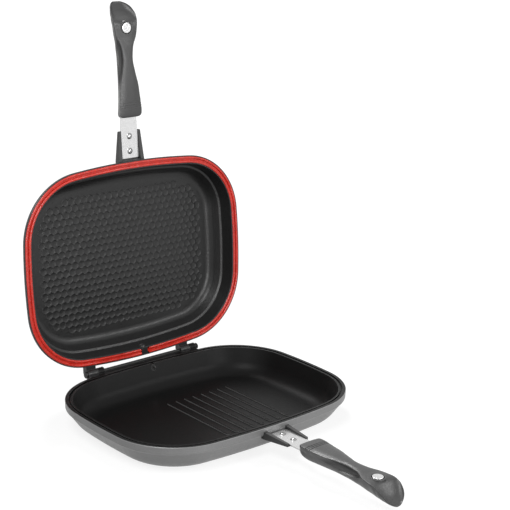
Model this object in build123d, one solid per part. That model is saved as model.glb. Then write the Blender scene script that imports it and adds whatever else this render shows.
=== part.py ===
from build123d import *
import os
from math import hypot, sqrt

os.makedirs("parts", exist_ok=True)

# Double sided flip pan: two shallow cast pans joined by a long hinge rod, each with a strap handle.
# Millimetres. The origin is the middle of the lower pan's base, X runs along the hinge, +Y points
# from the handles to the hinge and +Z is up. The pan is modelled open, the lid leaning on its stops.
#
# Both pans are drawn in one "half frame": the rim plane is z = 0, the pan hangs below it and its
# handle points along -Y. The lid is the mirror image of that, turned about the hinge rod.

# ---- rim outline, a rounded rectangle with bulging sides, made of eight tangent arcs ----
rim_width = 360.0
rim_depth = 278.0
front_arc_radius = 980.0
side_arc_radius = 775.0
corner_arc_radius = 92.0

# ---- cast section, shared by both pans; an inset is measured inwards from the rim outline ----
pan_height = 40.0
rim_chamfer = 0.6
lower_band_height = 9.0
lid_band_height = 3.6
band_draft = 0.3
band_step = 2.6
base_inset = 23.0
base_round = 33.0
floor_thickness = 4.4
core_inset = 60.0

# ---- lower pan: outer land, sealing groove, inner lip, then one large fillet to the floor ----
land_width = 4.5
groove_width = 3.2
groove_depth = 3.0
lip_width = 2.3
lip_drop = 0.4
lower_wall_inset = 25.0
lower_wall_round = 25.0

# ---- lid: gasket channel, steep wall, one step, short lower wall and a small fillet ----
channel_land = 1.4
channel_width = 9.2
channel_depth = 3.0
channel_lip = 1.4
step_depth = 18.5
step_wall_inset = 16.0
step_width = 3.2
step_drop = 1.2
lid_wall_inset = 27.5
lid_wall_round = 12.0

# ---- grill ribs on one side of the lower floor ----
rib_count = 8
rib_pitch = 14.6
rib_middle = 35.0
rib_length = 132.0
rib_width = 4.5
rib_height = 1.8
rib_round = 0.8

# ---- red silicone gasket with two beads, open at the steam vent ----
gasket_clearance = 0.1
bead_width = 3.6
bead_round = 1.6
bead_valley = 1.4
bead_gap = 0.3
vent_offset = 4.0
vent_gap = 11.0
gasket_end_round = 4.4

# ---- steam vent ferrules ----
vent_depth = 6.2
vent_bore = 2.8
vent_outer = 4.4
vent_flange = 7.6
vent_flange_thickness = 0.9
vent_tail = 0.5
vent_clearance = 0.05
vent_seat_depth = 0.4
vent_notch_width = 5.0
vent_notch_depth = 1.4
bridge_clearance = 0.8

# ---- hinge: one long rod through four knuckles ----
hinge_setback = 6.2
hinge_rise = 0.6
open_angle = 93.8
rod_diameter = 5.0
rod_clearance = 0.05
knuckle_radius = 5.8
hinge_spacing = 158.0
lid_knuckle_width = 15.2
lower_knuckle_width = 10.0
spacer_thickness = 0.6
spacer_diameter = 10.0
spacer_gap = 0.1
web_depth = 8.5
web_drop = 0.2
web_bite = 1.0
web_shelf = 4.0
web_root = 10.0
heel_top = 1.0
heel_bottom = 7.0
stop_gap = 0.3
rod_head_diameter = 9.6
rod_head_thickness = 2.6
rod_head_round = 1.0
nut_width = 8.0
nut_height = 4.5
rod_tail = 1.6

# ---- handle bracket cast on each pan ----
bracket_root_width = 41.0
bracket_tip_width = 35.0
bracket_reach = 40.5
bracket_root_inset = 10.8
ear_root_top = 4.8
ear_tip_top = 7.6
ear_root_depth = 14.6
ear_tip_depth = 11.2
ear_tip_round = 1.2
bracket_floor = 3.0
bracket_floor_reach = 37.0

# ---- handle strap and its rivets ----
strap_top = 8.5
strap_thickness = 2.0
strap_root_gap = 2.6
strap_root_width = 29.4
strap_end_width = 26.0
strap_corner = 2.0
strap_clearance = 0.3
tang_width = 16.0
tang_length = 52.0
tang_corner = 4.0
rivet_reaches = (12.3, 32.6)
rivet_shank = 5.0
rivet_head = 8.6
rivet_head_height = 1.9
rivet_tail = 7.6
rivet_tail_height = 1.2
rivet_clearance = 0.05

# ---- moulded grip, lofted through sections; each station is reach, crown depth, top edge half
# ---- width and depth, side crease half width and depth, flank bulge, hip half width and depth,
# ---- and belly depth; reach runs back from the grip's front face, depths from the rim plane ----
grip_reach = 58.6
grip_length = 153.9
grip_stations = (
    (0.0, 3.4, 11.0, 4.0, 12.0, 8.0, 0.2, 11.0, 12.0, 16.4),
    (0.9, 1.4, 14.0, 1.9, 13.7, 8.0, 0.3, 12.4, 13.0, 18.4),
    (3.4, 0.4, 16.8, 1.2, 14.6, 9.0, 0.3, 11.8, 16.0, 21.7),
    (9.9, 0.1, 18.0, 1.3, 14.6, 9.0, 0.3, 10.9, 16.9, 24.1),
    (24.9, 0.1, 17.0, 2.2, 13.2, 9.6, 0.1, 9.6, 16.8, 23.6),
    (42.9, 0.3, 15.2, 2.7, 12.2, 10.4, -0.6, 9.4, 16.4, 22.6),
    (60.9, 1.0, 10.6, 2.4, 11.7, 11.4, -2.2, 8.8, 17.2, 21.6),
    (77.9, 1.6, 7.8, 2.9, 12.0, 12.4, -3.2, 8.8, 17.4, 21.8),
    (93.9, 2.2, 9.4, 3.2, 12.8, 11.2, -2.4, 9.4, 18.3, 22.8),
    (102.0, 2.8, 12.6, 3.8, 13.9, 8.2, -1.0, 10.8, 17.4, 23.5),
    (106.5, 3.2, 15.2, 4.3, 15.3, 6.4, -0.2, 11.4, 17.8, 24.0),
    (118.9, 3.8, 18.2, 4.8, 18.0, 6.6, 0.0, 12.5, 18.4, 25.3),
    (127.9, 5.8, 19.3, 5.3, 19.1, 7.1, 0.0, 12.2, 20.6, 26.2),
    (134.9, 13.4, 19.4, 7.1, 19.1, 8.9, 0.0, 11.8, 22.1, 26.8),
    (141.9, 20.4, 18.4, 11.2, 18.0, 13.0, 0.0, 10.0, 24.2, 27.4),
    (147.9, 23.8, 15.7, 16.2, 15.2, 17.9, 0.0, 7.7, 26.1, 28.0),
    (151.7, 25.5, 11.6, 21.0, 11.0, 22.5, 0.0, 5.4, 27.2, 28.3),
    (153.9, 26.3, 6.4, 24.9, 5.6, 26.1, 0.0, 3.0, 27.7, 28.2),
)
grip_section_reaches = (
    0.0, 0.9, 3.4, 7.0, 13.0, 20.0, 28.0, 36.0, 44.0, 52.0, 60.0, 68.0, 76.0, 84.0,
    92.0, 98.5, 104.0, 109.0, 115.0, 121.0, 126.5, 131.5, 136.5, 141.5, 146.0, 149.8, 152.3, 153.9,
)
grip_edge_round = 0.9
# shares of the half width and of the depth at which the top's shoulder and the belly's turn lie
shoulder_across = 0.55
shoulder_fall = 0.2
belly_turn_across = 0.55
belly_turn_drop = 0.74
groove_reaches = (14.0, 17.2, 20.4)
groove_across = 1.1
groove_sink = 0.8
slot_clearance = 0.2
screw_reach = 93.5
screw_diameter = 5.0
screw_clearance = 0.05
screw_head_diameter = 9.0
screw_head_height = 2.6
screw_head_round = 1.0
screw_socket_width = 3.0
screw_socket_depth = 1.4
counterbore_diameter = 10.4
counterbore_floor = 17.0

# ---- magnet catch in each grip ----
magnet_from_tip = 34.2
catch_gap = 7.0
collar_diameter = 19.6
collar_drop = 0.5
collar_height = 10.0
collar_round = 1.0
recess_diameter = 16.2
recess_depth = 6.0
cap_diameter = 14.0
cap_wall = 0.7
cap_top = 0.8
cap_round = 0.6
magnet_clearance = 0.1

# ---- values worked out from the ones above ----
half_width = rim_width / 2
half_depth = rim_depth / 2
front_centre = Vector(0, half_depth - front_arc_radius)
side_centre = Vector(half_width - side_arc_radius, 0)
lower_inner_inset = land_width + groove_width + lip_width
lid_inner_inset = channel_land + channel_width + channel_lip
hinge_y = half_depth + hinge_setback
hinge_z = pan_height + hinge_rise
hinge_axis = Axis((0, hinge_y, hinge_z), (1, 0, 0))
strap_bottom = strap_top + strap_thickness
bracket_underside = strap_bottom + bracket_floor
grip_face_y = -half_depth - grip_reach
magnet_place = (0, grip_face_y - grip_length + magnet_from_tip)
strap_root_y = -half_depth - strap_root_gap
strap_shoulder_y = grip_face_y + strap_clearance
tang_end_y = strap_shoulder_y - tang_length
cap_height = hinge_rise - catch_gap / 2
recess_floor = cap_height - recess_depth
rod_end_chamfer = rod_diameter / 8
nut_chamfer = nut_width / 14


def corner_centre():
    """Centre of the corner arc that is tangent to a front arc and a side arc."""
    front_reach = front_arc_radius - corner_arc_radius
    side_reach = side_arc_radius - corner_arc_radius
    span = side_centre - front_centre
    along = (front_reach**2 - side_reach**2 + span.length**2) / (2 * span.length)
    off = sqrt(front_reach**2 - along**2)
    unit = span.normalized()
    return front_centre + unit * along + Vector(unit.Y, -unit.X) * off


def rim_wire(inset):
    """Rim outline moved inwards, as eight tangent arcs."""
    corner = corner_centre()
    radius = corner_arc_radius - inset
    to_front = (corner - front_centre).normalized()
    to_side = (corner - side_centre).normalized()
    front = corner + to_front * radius
    side = corner + to_side * radius
    middle = corner + (to_front + to_side).normalized() * radius

    def at(point, sx, sy):
        return Vector(sx * point.X, sy * point.Y)

    end_y, end_x = Vector(0, half_depth - inset), Vector(half_width - inset, 0)
    knots = [at(side, 1, 1), at(front, 1, 1), at(front, -1, 1), at(side, -1, 1)]
    knots += [at(side, -1, -1), at(front, -1, -1), at(front, 1, -1), at(side, 1, -1)]
    through = [at(middle, 1, 1), end_y, at(middle, -1, 1), -end_x]
    through += [at(middle, -1, -1), -end_y, at(middle, 1, -1), end_x]
    ends = knots[1:] + knots[:1]
    return Wire([ThreePointArc(*points) for points in zip(knots, through, ends)])


def rim_y(x):
    """Y of the hinge side of the rim outline at a place along the hinge."""
    return front_centre.Y + sqrt(front_arc_radius**2 - x**2)


def around(points, rounds=()):
    """Solid swept round the rim from a section of (inset, z) points.

    rounds gives (inset, z, radius) for each corner of the section that is filleted.
    """
    section = make_face(Polyline(*[(-inset, z) for inset, z in points], close=True))
    for inset, z, radius in rounds:
        corner = section.vertices().sort_by_distance((-inset, z))[0]
        section = fillet(corner, radius)
    corner = corner_centre()
    outwards = (corner - side_centre).normalized()
    start = corner + outwards * corner_arc_radius
    plane = Plane(origin=start, x_dir=outwards, z_dir=outwards.cross(Vector(0, 0, 1)))
    return sweep(plane * section, path=rim_wire(0))


def outer_points(band_height):
    """Outside of a pan's section, from the rim down to the middle of the base."""
    return [
        (rim_chamfer, 0),
        (0, -rim_chamfer),
        (band_draft, -band_height),
        (band_draft + band_step, -band_height - band_step),
        (base_inset, -pan_height),
        (core_inset, -pan_height),
    ]


def floor_plate():
    """Middle of a pan's floor, inside the swept wall section."""
    face = make_face(rim_wire(core_inset))
    return Pos(0, 0, -pan_height) * extrude(face, floor_thickness)


def drum(diameter, start, end, axis_point=(0, 0), direction="Z"):
    """Cylinder along an axis, from start to end; axis_point holds the two other coordinates."""
    height = end - start
    solid = Cylinder(diameter / 2, height, align=(Align.CENTER, Align.CENTER, Align.MIN))
    if direction == "Z":
        return Pos(axis_point[0], axis_point[1], start) * solid
    if direction == "X":
        return Pos(start, axis_point[0], axis_point[1]) * Rot(0, 90, 0) * solid
    return Pos(axis_point[0], start, axis_point[1]) * Rot(-90, 0, 0) * solid


def block(x0, x1, y0, y1, z0, z1):
    """Box between two corners."""
    corner = (Align.MIN, Align.MIN, Align.MIN)
    return Pos(x0, y0, z0) * Box(x1 - x0, y1 - y0, z1 - z0, align=corner)


def in_plan(points, z0, z1):
    """Prism of an XY polygon between two heights."""
    return Pos(0, 0, z0) * extrude(make_face(Polyline(*points, close=True)), z1 - z0)


def in_side_view(points, x0, x1):
    """Prism of a YZ polygon between two places along the hinge."""
    face = Plane.YZ * make_face(Polyline(*points, close=True))
    return Pos(x0, 0, 0) * extrude(face, x1 - x0)


# ---- placing the two halves ----


def place_lower(shape):
    """Half frame to the lower pan's place."""
    return Pos(0, 0, pan_height) * shape


def place_lid(shape):
    """Half frame to the lid's place: mirrored about the closing plane, then swung open."""
    closed = mirror(shape, about=Plane.XY.offset(hinge_rise))
    return (Pos(0, 0, pan_height) * closed).rotate(hinge_axis, -open_angle)


# ---- pans ----


def strap_plan(clearance, root_y):
    """Plan of the wide part of the strap, grown sideways by a clearance and running up to root_y."""
    taper = (strap_root_width - strap_end_width) / 2 / (strap_root_y - strap_shoulder_y)
    end = strap_end_width / 2 + clearance
    root = end + taper * (root_y - strap_shoulder_y)
    return [(-root, root_y), (-end, strap_shoulder_y), (end, strap_shoulder_y), (root, root_y)]


def bracket():
    """Cast handle bracket: a floor under the strap between two tapering ears."""
    wall_y, root_y = -half_depth, -half_depth + bracket_root_inset
    tip_y, floor_y = -half_depth - bracket_reach, -half_depth - bracket_floor_reach
    root_x, tip_x = bracket_root_width / 2, bracket_tip_width / 2
    plan = [(-root_x, wall_y), (-tip_x, tip_y), (tip_x, tip_y), (root_x, wall_y)]
    ears = in_plan(plan, -pan_height, 0) + block(-root_x, root_x, wall_y, root_y, -pan_height, 0)
    side = [(root_y, -ear_root_top), (root_y, -ear_root_depth), (wall_y, -ear_root_depth)]
    side += [(tip_y, -ear_tip_depth), (tip_y, -ear_tip_top), (wall_y, -ear_root_top)]
    ears &= in_side_view(side, -root_x, root_x)
    ears = fillet(ears.edges().filter_by(Axis.Z).sort_by(Axis.Y)[:2], ear_tip_round)
    channel = in_plan(strap_plan(strap_clearance, wall_y), -pan_height, 0)
    floor = in_plan(strap_plan(strap_clearance, root_y), -bracket_underside, -strap_bottom)
    floor &= block(-root_x, root_x, floor_y, root_y, -pan_height, 0)
    return ears - channel + floor


def knuckle(x0, x1):
    """Hinge knuckle with the web that joins it to the rim band."""
    barrel = drum(2 * knuckle_radius, x0, x1, (hinge_y, hinge_rise), "X")
    web = block(x0, x1, half_depth - web_root, hinge_y, -web_depth, -web_drop)
    inside = Pos(0, 0, -web_shelf) * extrude(make_face(rim_wire(web_bite)), web_shelf)
    return barrel + (web - inside)


def hinge_places():
    """X range of the lid knuckle, the spacer and the lower knuckle at each hinge."""
    places = []
    for side in (-1, 1):
        middle = side * hinge_spacing / 2
        half = spacer_thickness / 2
        lid_end = middle - half - spacer_gap
        lower_start = middle + half + spacer_gap
        places.append({
            "lid": (lid_end - lid_knuckle_width, lid_end),
            "spacer": (middle - half, middle + half),
            "lower": (lower_start, lower_start + lower_knuckle_width),
        })
    return places


def rod_bore():
    """Hole for the hinge rod right through both hinges, in the half frame."""
    diameter = rod_diameter + 2 * rod_clearance
    return drum(diameter, -half_width, half_width, (hinge_y, hinge_rise), "X")


def handle_holes():
    """Rivet holes through a bracket's floor."""
    holes = Part()
    for reach in rivet_reaches:
        place = (0, -half_depth - reach)
        holes += drum(rivet_shank + 2 * rivet_clearance, -pan_height, 0, place)
    return holes


def vent_hole(inner_inset):
    """Hole for the steam vent ferrule through the rim band, with a seat for its flange."""
    seat_y = half_depth - inner_inset - vent_seat_depth
    place = (vent_offset, -vent_depth)
    bore = drum(vent_outer + 2 * vent_clearance, seat_y - vent_flange, half_depth + vent_flange, place, "Y")
    seat = drum(vent_flange + 2 * vent_clearance, seat_y - vent_flange, seat_y, place, "Y")
    return bore + seat


def vent_notch():
    """Notch in the lower pan's inner lip over the steam vent."""
    half = vent_notch_width / 2
    y1 = half_depth - land_width - groove_width
    y0 = y1 - lip_width - 2 * lip_drop
    return block(vent_offset - half, vent_offset + half, y0, y1, -lip_drop - vent_notch_depth, 0)


def ribs():
    """Grill ribs, rounded at both ends and along the top."""
    floor_z = floor_thickness - pan_height
    single = extrude(SlotOverall(rib_length, rib_width, rotation=90), rib_height)
    single = fillet(single.edges().group_by(Axis.Z)[-1], rib_round)
    group = Part()
    for index in range(rib_count):
        x = rib_middle + (index - (rib_count - 1) / 2) * rib_pitch
        group += Pos(x, 0, floor_z) * single
    return group


def make_lower_pan():
    floor_z = floor_thickness - pan_height
    groove_start, groove_end = land_width, land_width + groove_width
    section = outer_points(lower_band_height) + [
        (core_inset, floor_z),
        (lower_wall_inset, floor_z),
        (lower_inner_inset + lip_drop, -lip_drop - rim_chamfer),
        (lower_inner_inset, -lip_drop),
        (groove_end, -lip_drop),
        (groove_end, -groove_depth),
        (groove_start, -groove_depth),
        (groove_start, 0),
    ]
    rounds = [(base_inset, -pan_height, base_round), (lower_wall_inset, floor_z, lower_wall_round)]
    pan = around(section, rounds) + floor_plate() + bracket() + ribs()
    for place in hinge_places():
        pan += knuckle(*place["lower"])
    return pan - rod_bore() - handle_holes() - vent_hole(lower_inner_inset) - vent_notch()


def make_lid_pan():
    floor_z = floor_thickness - pan_height
    channel_end = channel_land + channel_width
    ledge_inset = step_wall_inset + step_width
    section = outer_points(lid_band_height) + [
        (core_inset, floor_z),
        (lid_wall_inset, floor_z),
        (ledge_inset, -step_depth - step_drop),
        (step_wall_inset, -step_depth),
        (lid_inner_inset, -rim_chamfer),
        (lid_inner_inset - rim_chamfer, 0),
        (channel_end, 0),
        (channel_end, -channel_depth),
        (channel_land, -channel_depth),
        (channel_land, 0),
    ]
    rounds = [(base_inset, -pan_height, base_round), (lid_wall_inset, floor_z, lid_wall_round)]
    rounds += [(ledge_inset, -step_depth - step_drop, step_drop), (step_wall_inset, -step_depth, step_drop)]
    pan = around(section, rounds) + floor_plate() + bracket()
    for place in hinge_places():
        pan += knuckle(*place["lid"])
    half_gap = vent_gap / 2 - bridge_clearance
    middle_y = half_depth - channel_land - channel_width / 2
    near_y = middle_y - channel_width / 2 - channel_lip / 2
    far_y = middle_y + channel_width / 2 + channel_land / 2
    bridge = block(vent_offset - half_gap, vent_offset + half_gap, near_y, far_y,
                   -channel_depth - channel_lip, -rim_chamfer)
    return pan + bridge - rod_bore() - handle_holes() - vent_hole(lid_inner_inset)


def stop_heels():
    """Heels under the lid's knuckles that meet the lower rim band when the lid is open."""
    heels = Part()
    for place in hinge_places():
        x0, x1 = place["lid"]
        band_y = max(rim_y(x0), rim_y(x1))
        heels += block(x0, x1, band_y + stop_gap, hinge_y, hinge_z - heel_bottom, hinge_z - heel_top)
    bore = place_lower(rod_bore())
    return heels - bore


def make_gasket():
    """Silicone strip in the lid's channel, with a sealing bead over the land and one over the lip."""
    start = channel_land + gasket_clearance
    end = channel_land + channel_width - gasket_clearance
    top = 2 * hinge_rise - bead_gap
    points = [
        (start, -channel_depth), (start, top),
        (start + bead_width, top), (start + bead_width, -bead_valley),
        (end - bead_width, -bead_valley), (end - bead_width, top), (end, top), (end, -channel_depth),
    ]
    corners = [start, start + bead_width, end - bead_width, end]
    strip = around(points, [(inset, top, bead_round) for inset in corners])
    middle_y = half_depth - channel_land - channel_width / 2
    reach = vent_gap / 2 + gasket_end_round
    height = channel_depth + top
    gap = block(vent_offset - reach, vent_offset + reach,
                middle_y - channel_width, middle_y + channel_width,
                -channel_depth - height, top + height)
    for side in (-1, 1):
        place = (vent_offset + side * reach, middle_y)
        gap -= drum(2 * gasket_end_round, -channel_depth - height, top + height, place)
    return strip - gap


# ---- hinge hardware, in the half frame ----


def make_hinge_rod():
    """Rod with a round head at one end; the nut at the other end holds it."""
    places = hinge_places()
    start = places[0]["lid"][0] - spacer_gap
    end = places[1]["lower"][1] + spacer_gap + spacer_thickness + nut_height + rod_tail
    axis_place = (hinge_y, hinge_rise)
    head = drum(rod_head_diameter, start - rod_head_thickness, start, axis_place, "X")
    head = fillet(head.edges().group_by(Axis.X)[0], rod_head_round)
    rod = drum(rod_diameter, start, end, axis_place, "X")
    return head + chamfer(rod.edges().group_by(Axis.X)[-1], rod_end_chamfer)


def make_hinge_nut():
    """Hexagon nut on the end of the rod."""
    start = hinge_places()[1]["lower"][1] + spacer_gap + spacer_thickness
    hexagon = RegularPolygon(nut_width / sqrt(3), 6)
    nut = extrude(hexagon, nut_height) & chamfer(
        Cylinder(nut_width / sqrt(3), nut_height, align=(Align.CENTER, Align.CENTER, Align.MIN))
        .edges().group_by(Axis.Z)[-1], nut_chamfer)
    nut = Pos(start, hinge_y, hinge_rise) * Rot(0, 90, 0) * nut
    return nut - rod_bore()


def make_hinge_spacers():
    """Thin washers between the knuckles and under the nut."""
    starts = [place["spacer"][0] for place in hinge_places()]
    starts.append(hinge_places()[1]["lower"][1] + spacer_gap)
    axis_place = (hinge_y, hinge_rise)
    rings = []
    for start in starts:
        ring = drum(spacer_diameter, start, start + spacer_thickness, axis_place, "X") - rod_bore()
        rings += ring.solids()
    return Compound(rings)


# ---- vent ferrule ----


def make_vent_ferrule(inner_inset):
    """Flanged steel tube that lines the steam vent, its flange on the inner wall."""
    flange_y = half_depth - inner_inset - vent_seat_depth - vent_flange_thickness
    place = (vent_offset, -vent_depth)
    tube = drum(vent_outer, flange_y, half_depth + vent_tail, place, "Y")
    flange = drum(vent_flange, flange_y, flange_y + vent_flange_thickness, place, "Y")
    bore = drum(vent_bore, flange_y - vent_flange, half_depth + vent_flange, place, "Y")
    return tube + flange - bore


# ---- handle, in the half frame ----


def make_strap():
    """Pressed steel strap: a wide visible part and a narrower tang inside the grip."""
    wide = in_plan(strap_plan(0, strap_root_y), -strap_bottom, -strap_top)
    wide = fillet(wide.edges().filter_by(Axis.Z).sort_by(Axis.Y)[-2:], strap_corner)
    half = tang_width / 2
    tang = block(-half, half, tang_end_y, strap_shoulder_y + strap_corner, -strap_bottom, -strap_top)
    tang = fillet(tang.edges().filter_by(Axis.Z).sort_by(Axis.Y)[:2], tang_corner)
    screw_hole = drum(screw_diameter + 2 * screw_clearance, -pan_height, 0, (0, -half_depth - screw_reach))
    return wide + tang - handle_holes() - screw_hole


def make_rivets():
    """Two rivets with domed heads on the strap and flat formed tails under the bracket."""
    dome_radius = (rivet_head**2 / 4 + rivet_head_height**2) / (2 * rivet_head_height)
    rivets = []
    for reach in rivet_reaches:
        place = (0, -half_depth - reach)
        shank = drum(rivet_shank, -bracket_underside - rivet_tail_height, -strap_top, place)
        tail = drum(rivet_tail, -bracket_underside - rivet_tail_height, -bracket_underside, place)
        ball = Pos(place[0], place[1], -strap_top + rivet_head_height - dome_radius) * Sphere(dome_radius)
        head = ball & drum(rivet_head, -strap_top, -strap_top + 2 * rivet_head_height, place)
        rivets += (shank + tail + head).solids()
    return Compound(rivets)


def smooth_value(knots, values, place):
    """Cubic curve through values at knots, read at a place; it never overshoots between two knots."""
    gaps = [after - before for before, after in zip(knots, knots[1:])]
    rises = [(after - before) / gap for before, after, gap in zip(values, values[1:], gaps)]
    slopes = [rises[0]]
    for gap, next_gap, rise, next_rise in zip(gaps, gaps[1:], rises, rises[1:]):
        if rise * next_rise <= 0:
            slopes.append(0.0)
        else:
            weight, next_weight = gap + 2 * next_gap, 2 * gap + next_gap
            slopes.append((weight + next_weight) / (weight / rise + next_weight / next_rise))
    slopes.append(rises[-1])
    index = max(i for i in range(len(gaps)) if knots[i] <= place)
    share = (place - knots[index]) / gaps[index]
    blend = share * share * (3 - 2 * share)
    start_pull = share * (1 - share) ** 2 * gaps[index] * slopes[index]
    end_pull = share**2 * (share - 1) * gaps[index] * slopes[index + 1]
    return values[index] * (1 - blend) + values[index + 1] * blend + start_pull + end_pull


def station_at(reach):
    """The grip's listed values at any reach."""
    knots = [station[0] for station in grip_stations]
    columns = list(zip(*grip_stations))[1:]
    return [reach] + [smooth_value(knots, column, reach) for column in columns]


def grip_top(station, end_round=0.0, sink=0.0):
    """Top curve across the grip at one station, from left to right, lowered by sink."""
    crown, edge_x, edge_z = station[1:4]
    shoulder = Vector(edge_x * shoulder_across, -crown - (edge_z - crown) * shoulder_fall - sink)
    edge = Vector(edge_x, -edge_z - sink)
    edge += (shoulder - edge).normalized() * end_round
    right = [shoulder, edge]
    left = [Vector(-point.X, point.Y) for point in reversed(right)]
    return Spline(*left, (0, -crown - sink), *right)


def grip_section(station):
    """Closed outline of the grip across one station: top, rounded edges, two flanks and belly."""
    edge_x, edge_z, side_x, side_z, bulge, hip_x, hip_z, belly = station[2:]
    edge, side = Vector(edge_x, -edge_z), Vector(side_x, -side_z)
    down = (side - edge).normalized()
    start = edge + down * grip_edge_round
    middle = (start + side) / 2 + Vector(-down.Y, down.X) * bulge
    turn = Vector(hip_x * belly_turn_across, -hip_z - (belly - hip_z) * belly_turn_drop)
    under = [side, Vector(hip_x, -hip_z), turn]

    def mirrored(points):
        return [Vector(-point.X, point.Y) for point in reversed(points)]

    top = grip_top(station, grip_edge_round)
    round_right = [top @ 1, edge, start]
    flank_right = [start, middle, side]
    outline = [
        top,
        Bezier(*round_right),
        Spline(*flank_right),
        Spline(*under, (0, -belly), *mirrored(under)),
        Spline(*mirrored(flank_right)),
        Bezier(*mirrored(round_right)),
    ]
    return grip_plane(station[0]) * make_face(Wire(outline))


def grip_plane(reach):
    """Plane across the grip; reach is drawn for the listed stations and follows the grip's length."""
    y = grip_face_y - reach * grip_length / grip_stations[-1][0]
    return Plane(origin=(0, y, 0), x_dir=(1, 0, 0), z_dir=(0, -1, 0))


def grip_groove(reach):
    """Cutter for one shallow groove across the top of the grip, which follows the top's curve."""
    top = grip_top(station_at(reach), sink=groove_sink)
    left, right = top @ 0, top @ 1
    over = 2 * strap_top
    rim = Polyline(right, (right.X + over, right.Y), (right.X + over, over),
                   (left.X - over, over), (left.X - over, left.Y), left)
    face = make_face(Wire([top] + rim.edges()))
    return grip_plane(reach) * extrude(face, groove_across / 2, both=True)


def make_grip():
    """Moulded grip with finger hollows, three grooves, the strap slot, screw bore and magnet collar."""
    grip = loft([grip_section(station_at(reach)) for reach in grip_section_reaches])
    for reach in groove_reaches:
        grip -= grip_groove(reach)
    collar_top = cap_height - collar_drop
    collar = drum(collar_diameter, collar_top - collar_height, collar_top, magnet_place)
    grip += fillet(collar.edges().group_by(Axis.Z)[-1], collar_round)
    grip -= drum(recess_diameter, recess_floor, pan_height, magnet_place)
    half = tang_width / 2 + slot_clearance
    grip -= block(-half, half, tang_end_y - slot_clearance, 0,
                  -strap_bottom - slot_clearance, -strap_top + slot_clearance)
    screw_place = (0, -half_depth - screw_reach)
    grip -= drum(screw_diameter + 2 * screw_clearance, -pan_height, -strap_top, screw_place)
    grip -= drum(counterbore_diameter, -pan_height, -counterbore_floor, screw_place)
    return grip


def make_grip_screw():
    """Pan head screw that clamps the grip to the strap's tang from outside."""
    place = (0, -half_depth - screw_reach)
    shank = drum(screw_diameter, -counterbore_floor, -strap_top, place)
    head_end = -counterbore_floor - screw_head_height
    head = drum(screw_head_diameter, head_end, -counterbore_floor, place)
    head = fillet(head.edges().group_by(Axis.Z)[0], screw_head_round)
    socket = extrude(RegularPolygon(screw_socket_width / sqrt(3), 6), screw_socket_depth)
    return shank + head - Pos(place[0], place[1], head_end) * socket


def make_magnet_cap():
    """Stainless cup over the magnet, the bright disc on the inside of the grip."""
    outer = drum(cap_diameter, recess_floor, cap_height, magnet_place)
    outer = fillet(outer.edges().group_by(Axis.Z)[-1], cap_round)
    return outer - drum(cap_diameter - 2 * cap_wall, recess_floor - 1, cap_height - cap_top, magnet_place)


def make_magnet():
    """Disc magnet inside the cap."""
    diameter = cap_diameter - 2 * cap_wall - 2 * magnet_clearance
    return drum(diameter, recess_floor, cap_height - cap_top - magnet_clearance, magnet_place)


def make_parts():
    """Every node at rest, by name."""
    parts = {
        "lower_pan": place_lower(make_lower_pan()),
        "lid_pan": place_lid(make_lid_pan()) + stop_heels(),
        "lid_gasket": place_lid(make_gasket()),
        "hinge_rod": place_lower(make_hinge_rod()),
        "hinge_nut": place_lower(make_hinge_nut()),
        "hinge_spacers": place_lower(make_hinge_spacers()),
        "lower_vent_ferrule": place_lower(make_vent_ferrule(lower_inner_inset)),
        "lid_vent_ferrule": place_lid(make_vent_ferrule(lid_inner_inset)),
    }
    handle = {
        "handle_strap": make_strap(),
        "handle_rivets": make_rivets(),
        "grip": make_grip(),
        "grip_screw": make_grip_screw(),
        "magnet_cap": make_magnet_cap(),
        "magnet": make_magnet(),
    }
    for name, shape in handle.items():
        parts["lower_" + name] = place_lower(shape)
        parts["lid_" + name] = place_lid(shape)
    return parts


if __name__ == "__main__":
    for node, shape in make_parts().items():
        export_step(shape, f"parts/{node}.step")
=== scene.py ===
import bmesh
import bpy
import math
from mathutils import Matrix, Vector


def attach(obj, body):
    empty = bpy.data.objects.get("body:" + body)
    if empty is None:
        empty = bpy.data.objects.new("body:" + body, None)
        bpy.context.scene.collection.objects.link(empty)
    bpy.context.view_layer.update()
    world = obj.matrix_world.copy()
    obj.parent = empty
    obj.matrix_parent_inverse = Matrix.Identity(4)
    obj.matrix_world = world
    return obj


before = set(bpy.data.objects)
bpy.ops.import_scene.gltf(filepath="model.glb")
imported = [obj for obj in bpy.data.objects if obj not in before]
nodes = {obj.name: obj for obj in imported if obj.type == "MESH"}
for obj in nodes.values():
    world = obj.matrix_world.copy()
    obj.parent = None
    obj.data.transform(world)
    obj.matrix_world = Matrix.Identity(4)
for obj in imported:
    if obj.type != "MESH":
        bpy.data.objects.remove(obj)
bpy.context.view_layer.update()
scene = bpy.context.scene

# ---- view: angles in degrees, place in metres, lens and sensor in millimetres ----
VIEW_AZIMUTH, VIEW_ELEVATION, VIEW_ROLL = -40.7298, 16.4302, 1.1421
VIEW_PLACE = (-1.033275, -1.291386, 0.717768)
LENS, SENSOR_WIDTH = 94.27, 36
CLIP_END = 50

scene.view_settings.view_transform = "Standard"


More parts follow.
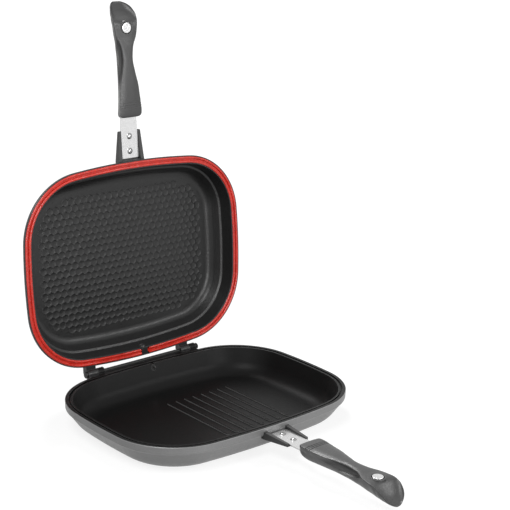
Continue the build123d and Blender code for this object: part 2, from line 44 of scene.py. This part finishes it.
def make_camera():
    """Camera at the fitted place and angle."""
    angles = (VIEW_AZIMUTH, VIEW_ELEVATION, VIEW_ROLL)
    azimuth, elevation, roll = (math.radians(angle) for angle in angles)
    level = math.cos(elevation)
    back = Vector((math.sin(azimuth) * level, -math.cos(azimuth) * level, math.sin(elevation)))
    right = Vector((math.cos(azimuth), math.sin(azimuth), 0))
    up = back.cross(right)
    right_rolled = right * math.cos(roll) + up * math.sin(roll)
    up_rolled = up * math.cos(roll) - right * math.sin(roll)
    data = bpy.data.cameras.new("view_camera")
    data.sensor_width = SENSOR_WIDTH
    data.lens = LENS
    data.clip_end = CLIP_END
    camera = bpy.data.objects.new("view_camera", data)
    scene.collection.objects.link(camera)
    axes = Matrix((right_rolled, up_rolled, back)).transposed()
    camera.matrix_world = Matrix.Translation(VIEW_PLACE) @ axes.to_4x4()
    scene.camera = camera


make_camera()

# ---- pan dimensions, millimetres ----
# Each pan has a half frame: x along the hinge, y towards it, z = 0 in the rim plane, opening upwards.
RIM_WIDTH, RIM_DEPTH, RIM_HEIGHT = 360.0, 278.0, 40.0
FRONT_ARC, SIDE_ARC, CORNER_ARC = 980.0, 775.0, 92.0
FRONT_CENTRE = (0.0, RIM_DEPTH / 2 - FRONT_ARC)
SIDE_CENTRE = (RIM_WIDTH / 2 - SIDE_ARC, 0.0)
HINGE_Y, HINGE_Z, HINGE_RISE = 145.2, 40.6, 0.6
LID_TURN = math.radians(-93.8)
COS, SIN = math.cos(LID_TURN), math.sin(LID_TURN)
LID_FLOOR = -35.6


def lid_to_world(x, y, z):
    """Place of a point of the lid's half frame in the scene, in metres."""
    dy, dz = y - HINGE_Y, HINGE_RISE - z
    return (x / 1000, (HINGE_Y + dy * COS - dz * SIN) / 1000, (HINGE_Z + dy * SIN + dz * COS) / 1000)


def world_to_half(point, normal, lid):
    """Point and normal in the half frame of a pan, whose rim plane is z = 0."""
    x, y, z = (value * 1000 for value in point)
    if not lid:
        return (x, y, z - RIM_HEIGHT), tuple(normal)
    dy, dz = y - HINGE_Y, z - HINGE_Z
    turned = dy * COS + dz * SIN, dz * COS - dy * SIN
    nx, ny, nz = normal
    half_point = (x, HINGE_Y + turned[0], HINGE_RISE - turned[1])
    return half_point, (nx, ny * COS + nz * SIN, ny * SIN - nz * COS)


def corner_centre():
    """Centre of the corner arc in the first quadrant, tangent to the front and side arcs."""
    front, side = FRONT_CENTRE, SIDE_CENTRE
    r0, r1 = FRONT_ARC - CORNER_ARC, SIDE_ARC - CORNER_ARC
    gap = math.dist(front, side)
    along = (r0 * r0 - r1 * r1 + gap * gap) / (2 * gap)
    off = math.sqrt(r0 * r0 - along * along)
    ux, uy = (side[0] - front[0]) / gap, (side[1] - front[1]) / gap
    crossings = (
        (front[0] + along * ux + off * uy * turn, front[1] + along * uy - off * ux * turn)
        for turn in (-1, 1)
    )
    return max(crossings, key=sum)


CORNER = corner_centre()


def rim_inset(x, y):
    """Distance inwards from the rim outline, and the outward direction there."""
    px, py = abs(x), abs(y)
    front, side = FRONT_CENTRE, SIDE_CENTRE
    past_front = (CORNER[0] - front[0]) * (py - front[1]) - (CORNER[1] - front[1]) * (px - front[0])
    past_side = (CORNER[0] - side[0]) * (py - side[1]) - (CORNER[1] - side[1]) * (px - side[0])
    if past_front < 0 < past_side:
        centre, radius = CORNER, CORNER_ARC
    elif past_front >= 0:
        centre, radius = front, FRONT_ARC
    else:
        centre, radius = side, SIDE_ARC
    reach = math.hypot(px - centre[0], py - centre[1])
    out = ((px - centre[0]) / reach, (py - centre[1]) / reach)
    return radius - reach, (math.copysign(out[0], x), math.copysign(out[1], y))


# ---- materials; scales are per metre, radii and bump distances in metres, greys from 0 to 255 ----
# The Mix node's colour sockets share their names with its other sockets, so they go by number.
MIX_FACTOR, MIX_FIRST, MIX_SECOND, MIX_RESULT = 0, 6, 7, 2
BEVEL_SAMPLES = 6


class Nodes:
    """Adds and links the shader nodes of one material."""

    def __init__(self, name):
        self.material = bpy.data.materials.new(name)
        self.material.use_nodes = True
        self.tree = self.material.node_tree
        self.shader = self.tree.nodes["Principled BSDF"]
        self.place = self.add("ShaderNodeTexCoord").outputs["Object"]

    def add(self, kind, inputs=None, **settings):
        """New node with its settings made, and each input linked or given its value."""
        node = self.tree.nodes.new(kind)
        for key, value in settings.items():
            setattr(node, key, value)
        for key, value in (inputs or {}).items():
            if isinstance(value, bpy.types.NodeSocket):
                self.tree.links.new(value, node.inputs[key])
            else:
                node.inputs[key].default_value = value
        return node

    def noise(self, scale, detail=3.0, roughness=0.5, stretch=None):
        place = self.place
        if stretch:
            place = self.add("ShaderNodeMapping", {"Vector": place, "Scale": stretch}).outputs[0]
        values = {"Vector": place, "Scale": scale, "Detail": detail, "Roughness": roughness}
        return self.add("ShaderNodeTexNoise", values).outputs["Fac"]

    def spots(self, scale):
        values = {"Vector": self.place, "Scale": scale}
        return self.add("ShaderNodeTexVoronoi", values).outputs["Distance"]

    def ramp(self, value, low, high, from_low=0.3, from_high=0.7):
        """low to high as value runs over its range; 0.3 to 0.7 is where most of a noise lies."""
        values = {"Value": value, "To Min": low, "To Max": high}
        values.update({"From Min": from_low, "From Max": from_high})
        return self.add("ShaderNodeMapRange", values).outputs[0]

    def maths(self, operation, first, second):
        return self.add("ShaderNodeMath", {0: first, 1: second}, operation=operation).outputs[0]

    def mix(self, factor, first, second):
        node = self.add("ShaderNodeMix", data_type="RGBA")
        self.tree.links.new(factor, node.inputs[MIX_FACTOR])
        for number, value in ((MIX_FIRST, first), (MIX_SECOND, second)):
            socket = node.inputs[number]
            if isinstance(value, bpy.types.NodeSocket):
                self.tree.links.new(value, socket)
            else:
                socket.default_value = value
        return node.outputs[MIX_RESULT]

    def painted_edge_highlight(self, low, high, radius):
        """Mask for the painted highlight: 0 on flat faces and 1 on the sharper outer edges, from the
        rounded normal.
        """
        rounded = self.add("ShaderNodeBevel", {"Radius": radius}, samples=BEVEL_SAMPLES).outputs[0]
        normal = self.add("ShaderNodeNewGeometry").outputs["Normal"]
        dot = self.add("ShaderNodeVectorMath", {0: rounded, 1: normal}, operation="DOT_PRODUCT")
        return self.ramp(dot.outputs["Value"], 1, 0, low, high)

    def bump(self, height, distance, normal=None):
        inputs = {"Height": height, "Distance": distance}
        if normal:
            inputs["Normal"] = normal
        return self.add("ShaderNodeBump", inputs).outputs[0]

    def set(self, **values):
        """Sets the shader's inputs, named with _ for each space, and gives back the material."""
        for key, value in values.items():
            socket = self.shader.inputs[key.replace("_", " ")]
            if isinstance(value, bpy.types.NodeSocket):
                self.tree.links.new(value, socket)
            else:
                socket.default_value = value
        return self.material


def grey(value):
    """Display grey from 0 to 255 as a linear colour."""
    share = value / 255
    linear = share / 12.92 if share <= 0.04045 else ((share + 0.055) / 1.055) ** 2.4
    return (linear, linear, linear, 1)


def rgb(red, green, blue):
    """Display colour from 0 to 255 as a linear colour."""
    return tuple(grey(value)[0] for value in (red, green, blue)) + (1,)


def make_enamel():
    """Satin grey stove enamel with a fine metallic grain."""
    n = Nodes("grey_enamel")
    grain = n.noise(2600, 2)
    cloud = n.noise(16, 3)
    colour = n.mix(n.ramp(grain, 0, 1), grey(104), grey(134))
    colour = n.mix(n.ramp(cloud, 0, 0.4), colour, grey(140))
    orange_peel = n.bump(n.noise(420, 2), 0.00007)
    normal = n.bump(grain, 0.00001, orange_peel)
    roughness = n.ramp(n.noise(300), 0.36, 0.46)
    return n.set(Base_Color=colour, Metallic=0.3, Roughness=roughness, Normal=normal)


def make_casting():
    """Dark grey painted casting of the handle brackets."""
    n = Nodes("dark_casting")
    grain = n.noise(1500, 3)
    colour = n.mix(n.ramp(grain, 0, 1), grey(44), grey(58))
    normal = n.bump(n.noise(600, 3), 0.00006)
    roughness = n.ramp(n.noise(260), 0.36, 0.5)
    return n.set(Base_Color=colour, Metallic=0.2, Roughness=roughness, Normal=normal)


def make_coating(name, dark, light, gloss, roughness, grain):
    """Black non-stick coating with a pebbled spray texture, light speckle and painted highlights along
    its sharper edges.
    """
    n = Nodes(name)
    speck = n.ramp(n.spots(1500), 1, 0, 0.05, 0.4)
    colour = n.mix(speck, grey(dark), grey(light))
    # painted highlight: the sharper edges are lightened to grey 78
    colour = n.mix(n.painted_edge_highlight(0.9, 0.99, 0.0007), colour, grey(78))
    height = n.maths("ADD", n.noise(900, 3), n.noise(2400, 2))
    normal = n.bump(height, 0.00006, n.bump(n.noise(340, 1), grain))
    roughness = n.ramp(n.noise(500), *roughness)
    return n.set(Base_Color=colour, Specular_IOR_Level=gloss, Roughness=roughness, Normal=normal)


def make_silicone():
    """Red silicone, moulded satin."""
    n = Nodes("red_silicone")
    colour = n.mix(n.ramp(n.noise(60), 0, 1), rgb(186, 38, 26), rgb(206, 50, 36))
    return n.set(
        Base_Color=colour,
        Roughness=n.ramp(n.noise(80), 0.24, 0.3),
        Subsurface_Weight=0.1,
        Subsurface_Scale=0.001,
        Normal=n.bump(n.noise(700), 0.00001),
    )


BRUSH_STRETCH = (6, 0.12, 1)


def make_steel():
    """Polished stainless strap with a faint drawn grain."""
    n = Nodes("polished_strap")
    brush = n.noise(700, 4, 0.6, stretch=BRUSH_STRETCH)
    speck = n.noise(1300, 2)
    colour = n.mix(n.ramp(speck, 0, 1), grey(188), grey(222))
    normal = n.bump(speck, 0.00002, n.bump(brush, 0.00001))
    return n.set(Base_Color=colour, Metallic=1.0, Roughness=n.ramp(brush, 0.2, 0.34), Normal=normal)


def make_bright(name, dark, light):
    """Turned and polished steel."""
    n = Nodes(name)
    turned = n.noise(900, 3)
    colour = n.mix(n.ramp(turned, 0, 1), grey(dark), grey(light))
    normal = n.bump(turned, 0.000005)
    return n.set(Base_Color=colour, Metallic=1.0, Roughness=n.ramp(turned, 0.16, 0.28), Normal=normal)


def make_blackened():
    """Blackened steel of the hinge hardware."""
    n = Nodes("blackened_steel")
    stain = n.noise(350, 4)
    colour = n.mix(n.ramp(stain, 0, 1), grey(26), grey(46))
    normal = n.bump(n.noise(1500, 3), 0.00003)
    return n.set(Base_Color=colour, Metallic=0.6, Roughness=n.ramp(stain, 0.32, 0.5), Normal=normal)


def make_phenolic():
    """Satin charcoal moulding compound, with painted highlights along its sharper edges."""
    n = Nodes("charcoal_phenolic")
    grain = n.noise(1800, 3)
    colour = n.mix(n.ramp(grain, 0, 1), grey(42), grey(64))
    # painted highlight: the sharper edges are lightened to grey 86
    colour = n.mix(n.painted_edge_highlight(0.9, 0.99, 0.0005), colour, grey(86))
    normal = n.bump(n.maths("ADD", n.noise(700, 3), grain), 0.0001)
    roughness = n.ramp(n.noise(250), 0.32, 0.42)
    return n.set(Base_Color=colour, Specular_IOR_Level=0.5, Roughness=roughness, Normal=normal)


materials = {
    "enamel": make_enamel(),
    "coating": make_coating("black_coating", 18, 30, 0.1, (0.34, 0.46), 0.00004),
    # The lid's copy of the black coating is painted lighter (30 to 54 against 18 to 30) as painted
    # sheen.
    "lid_coating_painted_sheen": make_coating("lid_coating_painted_sheen", 30, 54, 0.34, (0.27, 0.38), 0.0002),
    "casting": make_casting(),
    "silicone": make_silicone(),
    "steel": make_steel(),
    "bright": make_bright("bright_steel", 205, 226),
    "rivet": make_bright("rivet_steel", 140, 170),
    "blackened": make_blackened(),
    "phenolic": make_phenolic(),
}


def paint(node, *names):
    """Gives a node's mesh these materials, in the order of its slots."""
    mesh = nodes[node].data
    mesh.materials.clear()
    for name in names:
        mesh.materials.append(materials[name])


# ---- finish of the pans by face: insets run inwards from the rim outline, in millimetres, and the
# ---- shares are parts of a face's unit normal ----
ENAMEL, COATING, CASTING = 0, 1, 2
PAST_RIM = -0.3
BRACKET_HALF_WIDTH, BRACKET_ROOT, BRACKET_CHEEK_SHARE = 21.0, 12, 0.7
KNUCKLES_HALF_WIDTH, KNUCKLE_ROOT, KNUCKLE_CHEEK_SHARE = 110, 5, 0.8
WALL_INSET, RIM_TOP_SHARE = 0.9, 0.9
GROOVE_INSET = (3.0, 12.5)
GROOVE_FLOOR = -4.0
LID_BAND = 3.7
FACING_UP_SHARE = 0.35
INNER_WALL_TILT, INNER_WALL_SHARE = -0.2, -0.3


def pan_finish(place, normal, band):
    """Finish of one face: enamel outside, coating inside and on the hinge, casting on the bracket.

    The coating also covers the outer wall down to band under the rim plane.
    """
    x, y, z = place
    inset, out = rim_inset(x, y)
    outward = normal[0] * out[0] + normal[1] * out[1]
    sideways, upward = abs(normal[0]), normal[2]
    if y < 0 and abs(x) < BRACKET_HALF_WIDTH:
        if inset < PAST_RIM or (inset < BRACKET_ROOT and sideways > BRACKET_CHEEK_SHARE):
            return CASTING
    if y > 0:
        knuckle_cheek = sideways > KNUCKLE_CHEEK_SHARE and abs(x) < KNUCKLES_HALF_WIDTH
        if inset < PAST_RIM or (inset < KNUCKLE_ROOT and knuckle_cheek):
            return COATING
    if inset < WALL_INSET and z > -band:
        return COATING
    if inset < WALL_INSET and upward < RIM_TOP_SHARE:
        return ENAMEL
    if GROOVE_INSET[0] < inset < GROOVE_INSET[1] and z > GROOVE_FLOOR:
        return COATING
    if upward > FACING_UP_SHARE or (upward > INNER_WALL_TILT and outward < INNER_WALL_SHARE):
        return COATING
    return ENAMEL


def paint_pan(node, lid):
    """Gives each face of a pan its finish; the lid has a coated band outside, under its rim."""
    # the lid takes the copy of the coating that is painted lighter as painted sheen
    paint(node, "enamel", "lid_coating_painted_sheen" if lid else "coating", "casting")
    for polygon in nodes[node].data.polygons:
        place, normal = world_to_half(polygon.center, polygon.normal, lid)
        polygon.material_index = pan_finish(place, normal, LID_BAND if lid else 0.0)


# ---- finish of the other nodes, by the end of the name ----
finishes = {
    "gasket": "silicone", "grip": "phenolic", "strap": "steel", "rivets": "rivet", "ferrule": "rivet",
    "cap": "bright", "magnet": "bright", "screw": "bright",
    "hinge_rod": "blackened", "hinge_nut": "blackened", "hinge_spacers": "blackened",
}
for name in nodes:
    if name.endswith("_pan"):
        paint_pan(name, name.startswith("lid"))
    else:
        paint(name, next(value for key, value in finishes.items() if name.endswith(key)))


# ---- honeycomb relief on the lid's floor, millimetres ----
CELL_PITCH = 10.1
ROW_PITCH = 8.88
RIDGE_HEIGHT = 0.5
RIDGE_HALF_WIDTH = 0.85
RIDGE_STEPS = (0.0, 0.2, 0.45, 0.75, 1.0)
SIDE_POINTS = (0.0, 1 / 3, 2 / 3)
CORNER_ROUNDING, ROUNDED_SHRINK = 0.10, 0.3
RELIEF_LIFT = 0.06
RELIEF_INSET = 44.0
SKIRT_WIDTH, SKIRT_DEPTH = 0.9, 0.15
MERGE_METRES = 0.00005


def honeycomb_cells():
    """Centres of the hexagon cells, each at least RELIEF_INSET inside the rim outline."""
    rows = int(RIM_DEPTH / 2 / ROW_PITCH) + 1
    columns = int(RIM_WIDTH / 2 / CELL_PITCH) + 1
    for row in range(-rows, rows + 1):
        for column in range(-columns, columns + 1):
            x = (column + 0.5 * (row % 2)) * CELL_PITCH
            y = row * ROW_PITCH
            if rim_inset(x, y)[0] > RELIEF_INSET:
                yield x, y


def cell_outline():
    """Points around one cell at its ridges' crests; the third value is 0 at the six corners."""
    corner = CELL_PITCH / 2 / math.cos(math.pi / 6)
    slope = ROW_PITCH / (CELL_PITCH * math.sqrt(3) / 2)
    outline = []
    for k in range(6):
        a, b = math.radians(60 * k - 30), math.radians(60 * k + 30)
        for t in SIDE_POINTS:
            px = corner * (math.cos(a) * (1 - t) + math.cos(b) * t)
            py = corner * (math.sin(a) * (1 - t) + math.sin(b) * t) * slope
            outline.append((px, py, 1.0 if t else 0.0))
    return outline


def add_cell(bm, cx, cy, outline, rings):
    """Half ridges around one cell and its flat floor; the floor's corners are rounded."""
    loops = []
    for scale, height in rings:
        loop = []
        for px, py, side in outline:
            pull = scale * (1 - CORNER_ROUNDING * (1 - scale) / ROUNDED_SHRINK * (1 - side))
            place = (cx + px * pull, cy + py * pull, LID_FLOOR + RELIEF_LIFT + height)
            loop.append(bm.verts.new(lid_to_world(*place)))
        loops.append(loop)
    count = len(outline)
    for outer, inner in zip(loops, loops[1:]):
        for k in range(count):
            m = (k + 1) % count
            bm.faces.new((outer[k], outer[m], inner[m], inner[k]))
    bm.faces.new(loops[-1])


def add_skirt(bm):
    """Closes the field's border with a slope that ends under the lid's floor."""
    edges = [edge for edge in bm.edges if edge.is_boundary]
    made = bmesh.ops.extrude_edge_only(bm, edges=edges)["geom"]
    inward = Vector(lid_to_world(0, 0, 0)) - Vector(lid_to_world(0, 0, 1))
    for vert in (item for item in made if isinstance(item, bmesh.types.BMVert)):
        (x, y, _), _ = world_to_half(vert.co, inward, True)
        spread = 1 + SKIRT_WIDTH / math.hypot(x, y)
        vert.co = lid_to_world(x * spread, y * spread, LID_FLOOR - SKIRT_DEPTH)


def make_honeycomb():
    """Relief of raised ridges over the whole field, with a skirt around it; it rides with the lid."""
    mesh = bpy.data.meshes.new("lid_floor_honeycomb")
    bm = bmesh.new()
    apothem = CELL_PITCH / 2
    rings = []
    for step in RIDGE_STEPS:
        scale = 1 - step * RIDGE_HALF_WIDTH / apothem
        rings.append((scale, RIDGE_HEIGHT * (1 + math.cos(math.pi * step)) / 2))
    outline = cell_outline()
    for cx, cy in honeycomb_cells():
        add_cell(bm, cx, cy, outline, rings)
    bmesh.ops.remove_doubles(bm, verts=bm.verts[:], dist=MERGE_METRES)
    add_skirt(bm)
    bmesh.ops.recalc_face_normals(bm, faces=bm.faces[:])
    bm.to_mesh(mesh)
    bm.free()
    for polygon in mesh.polygons:
        polygon.use_smooth = True
    # the lid's coating, painted lighter as painted sheen
    mesh.materials.append(materials["lid_coating_painted_sheen"])
    piece = bpy.data.objects.new("lid_floor_honeycomb", mesh)
    scene.collection.objects.link(piece)
    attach(piece, "lid")


make_honeycomb()


# ---- thin cast ledge under the hinge rod, millimetres; its right end stops 0.7 mm short of the
# ---- lid's knuckle, and its profile is given in shares of the way from its root to its outer edge ----
LEDGE_ENDS = (-70.0, 62.7)
LEDGE_OUTER_Y = 142.5
LEDGE_TOP, LEDGE_BOTTOM = 39.9, 37.7
LEDGE_ROOT_DEPTH = 1.0
LEDGE_FLAT_SHARE, LEDGE_ROUND_SHARE, LEDGE_ROUND_DROP = 0.75, 0.93, 0.2
LEDGE_STEPS = 40


def make_ledge():
    """Thin shelf along the lower pan's rim, from inside the rim to the hinge rod."""
    mesh = bpy.data.meshes.new("lower_hinge_ledge")
    profile = (
        (0.0, LEDGE_TOP),
        (LEDGE_FLAT_SHARE, LEDGE_TOP),
        (LEDGE_ROUND_SHARE, LEDGE_TOP - LEDGE_ROUND_DROP),
        (1.0, (LEDGE_TOP + LEDGE_BOTTOM) / 2),
        (LEDGE_ROUND_SHARE, LEDGE_BOTTOM + LEDGE_ROUND_DROP),
        (LEDGE_FLAT_SHARE, LEDGE_BOTTOM),
        (0.0, LEDGE_BOTTOM),
    )
    points, faces = [], []
    for step in range(LEDGE_STEPS + 1):
        x = LEDGE_ENDS[0] + (LEDGE_ENDS[1] - LEDGE_ENDS[0]) * step / LEDGE_STEPS
        root = FRONT_CENTRE[1] + math.sqrt(FRONT_ARC ** 2 - x * x) - LEDGE_ROOT_DEPTH
        for share, z in profile:
            points.append((x / 1000, (root + share * (LEDGE_OUTER_Y - root)) / 1000, z / 1000))
    count = len(profile)
    for step in range(LEDGE_STEPS):
        near, far = step * count, (step + 1) * count
        for k in range(count):
            m = (k + 1) % count
            faces.append((near + k, near + m, far + m, far + k))
    faces += [tuple(range(count))[::-1], tuple(LEDGE_STEPS * count + k for k in range(count))]
    mesh.from_pydata(points, [], faces)
    mesh.validate()
    mesh.materials.append(materials["coating"])
    piece = bpy.data.objects.new("lower_hinge_ledge", mesh)
    scene.collection.objects.link(piece)
    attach(piece, "lower")


make_ledge()


# ---- floor and light, metres and watts ----
# The floor lies just under the pan's base. It looks white to the camera, and its glow grows with the
# distance from the pan, so that the shadow near the pan stays and the floor's edge can't be seen.
FLOOR_HALF = 6.0
FLOOR_DROP = 0.0003
FLOOR_GREY, FLOOR_SEEN_GREY = 165, 240
FLOOR_GLOW = 0.72
GLOW_REACH = (0.45, 1.6)
GLOW_STRENGTH = 1.15
WORLD_LIGHT = 0.22
WHITE = (1, 1, 1, 1)


def seen_rays(tree):
    """1 for camera, glossy and transmission rays, 0 for the rays that light the pan."""
    path = tree.nodes.new("ShaderNodeLightPath").outputs
    seen = path["Is Camera Ray"]
    for name in ("Is Glossy Ray", "Is Transmission Ray"):
        either = tree.nodes.new("ShaderNodeMath")
        either.operation = "MAXIMUM"
        tree.links.new(seen, either.inputs[0])
        tree.links.new(path[name], either.inputs[1])
        seen = either.outputs[0]
    return seen


def make_floor():
    """Pale level floor that keeps the pan's shadow."""
    mesh = bpy.data.meshes.new("floor")
    corners = ((-1, -1), (1, -1), (1, 1), (-1, 1))
    points = [(x * FLOOR_HALF, y * FLOOR_HALF, -FLOOR_DROP) for x, y in corners]
    mesh.from_pydata(points, [], [(0, 1, 2, 3)])
    floor = bpy.data.objects.new("floor", mesh)
    scene.collection.objects.link(floor)
    n = Nodes("pale_floor")
    seen = n.add("ShaderNodeLightPath").outputs["Is Camera Ray"]
    colour = n.mix(seen, grey(FLOOR_GREY), grey(FLOOR_SEEN_GREY))
    mesh.materials.append(n.set(Base_Color=colour, Roughness=0.9, Specular_IOR_Level=0.0))
    glow = n.add("ShaderNodeEmission", {"Color": WHITE, "Strength": GLOW_STRENGTH}).outputs[0]
    reach = n.add("ShaderNodeVectorMath", {0: n.place}, operation="LENGTH").outputs["Value"]
    lit = n.ramp(reach, FLOOR_GLOW, 1.0, *GLOW_REACH)
    share = n.maths("MULTIPLY", seen_rays(n.tree), lit)
    mixed = n.add("ShaderNodeMixShader", {0: share, 1: n.shader.outputs[0], 2: glow}).outputs[0]
    output = next(node for node in n.tree.nodes if node.type == "OUTPUT_MATERIAL")
    n.tree.links.new(mixed, output.inputs["Surface"])


def make_world():
    """White world at full strength where it is seen, and at a plain level where it lights the pan."""
    world = bpy.data.worlds.new("studio")
    scene.world = world
    world.use_nodes = True
    tree = world.node_tree
    background = tree.nodes["Background"]
    background.inputs["Color"].default_value = WHITE
    strength = tree.nodes.new("ShaderNodeMapRange")
    strength.inputs["To Min"].default_value = WORLD_LIGHT
    tree.links.new(seen_rays(tree), strength.inputs["Value"])
    tree.links.new(strength.outputs[0], background.inputs["Strength"])


def area_light(name, place, target, side, power):
    """Square lamp at place, turned to face target."""
    data = bpy.data.lights.new(name, "AREA")
    data.shape = "SQUARE"
    data.size = side
    data.energy = power
    light = bpy.data.objects.new(name, data)
    scene.collection.objects.link(light)
    light.location = place
    light.rotation_euler = (Vector(target) - Vector(place)).to_track_quat("-Z", "Y").to_euler()


make_floor()
make_world()
area_light("key", (-0.85, -0.45, 1.25), (0, 0, 0.2), 0.6, 11)
area_light("front", (-0.05, -2.0, 0.4), (0, 0, 0.2), 0.7, 19)
area_light("right", (0.9, -1.3, 0.95), (0, -0.2, 0.1), 0.5, 7)
area_light("back", (0.3, 0.9, 1.7), (0, -0.1, 0.1), 0.5, 21)
